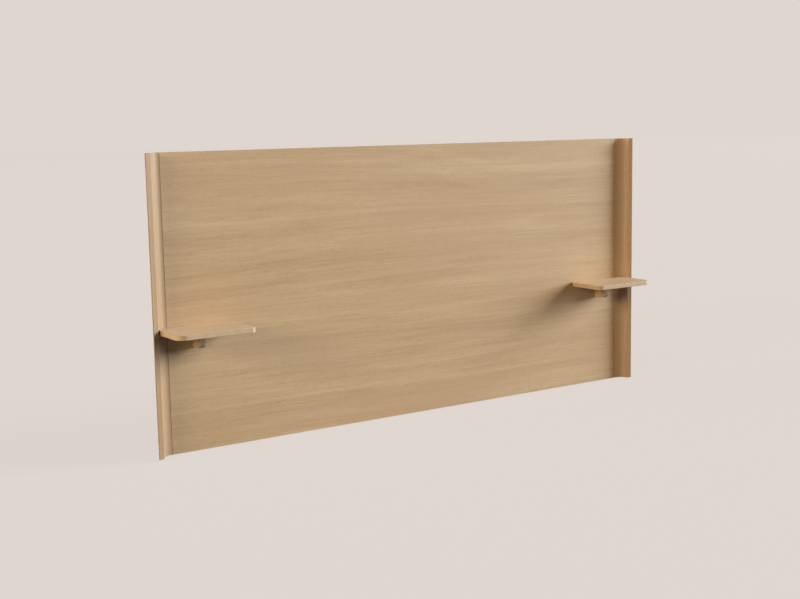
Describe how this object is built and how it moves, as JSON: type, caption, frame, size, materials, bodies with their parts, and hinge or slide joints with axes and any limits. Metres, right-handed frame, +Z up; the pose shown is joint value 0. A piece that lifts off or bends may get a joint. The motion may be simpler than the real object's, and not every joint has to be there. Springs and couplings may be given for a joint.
{
  "type": "headboard with shelves",
  "caption": "Wide wall-hung oak headboard with coved stiles that curl forward at both ends and a small rounded bedside shelf on a bracket at each side.",
  "frame": {"origin": "middle of the wall rail's back face, on the wall plane", "axes": "+X to the right as seen from the bed, +Y into the wall, +Z up"},
  "size_m": [2.292, 0.2306, 1.08],
  "materials": {
    "panel_oak": "oak veneer, horizontal grain, matt oil",
    "stile_oak": "solid oak, upright grain, matt oil",
    "shelf_oak": "solid oak, grain along the shelf, matt oil",
    "board_core": "raw fibreboard",
    "beech": "planed beech",
    "zinc_steel": "zinc plated",
    "brass": "turned",
    "felt": "pressed felt"
  },
  "bodies": {
    "wall_rail": {"wall_rail": "beech"},
    "headboard": {"panel_core": "board_core", "front_veneer": "panel_oak", "back_veneer": "panel_oak", "top_lipping": "panel_oak", "bottom_lipping": "panel_oak", "left_stile": "stile_oak", "right_stile": "stile_oak", "left_tongue": "beech", "right_tongue": "beech", "left_shelf": "shelf_oak", "right_shelf": "shelf_oak", "left_bracket": "shelf_oak", "right_bracket": "shelf_oak", "bracket_dowel_1": "beech", "bracket_dowel_2": "beech", "bracket_dowel_3": "beech", "bracket_dowel_4": "beech", "shelf_bolt_1": "zinc_steel", "shelf_bolt_2": "zinc_steel", "shelf_bolt_3": "zinc_steel", "shelf_bolt_4": "zinc_steel", "shelf_bolt_5": "zinc_steel", "shelf_bolt_6": "zinc_steel", "shelf_bolt_7": "zinc_steel", "shelf_bolt_8": "zinc_steel", "bolt_washer_1": "zinc_steel", "bolt_washer_2": "zinc_steel", "bolt_washer_3": "zinc_steel", "bolt_washer_4": "zinc_steel", "bolt_washer_5": "zinc_steel", "bolt_washer_6": "zinc_steel", "bolt_washer_7": "zinc_steel", "bolt_washer_8": "zinc_steel", "threaded_insert_1": "brass", "threaded_insert_2": "brass", "threaded_insert_3": "brass", "threaded_insert_4": "brass", "threaded_insert_5": "brass", "threaded_insert_6": "brass", "threaded_insert_7": "brass", "threaded_insert_8": "brass", "hanging_rail": "beech", "rail_screw_1": "zinc_steel", "rail_screw_2": "zinc_steel", "rail_screw_3": "zinc_steel", "rail_screw_4": "zinc_steel", "rail_screw_5": "zinc_steel", "rail_screw_6": "zinc_steel", "spacer_batten": "beech", "batten_screw_1": "zinc_steel", "batten_screw_2": "zinc_steel", "batten_screw_3": "zinc_steel", "batten_screw_4": "zinc_steel", "felt_pad_1": "felt", "felt_pad_2": "felt", "felt_pad_3": "felt"}
  },
  "joints": [
    {"name": "lift_off", "type": "slide", "parent": "wall_rail", "child": "headboard", "axis": [0, 0, 1], "range_m": [0, 0.018]}
  ]
}
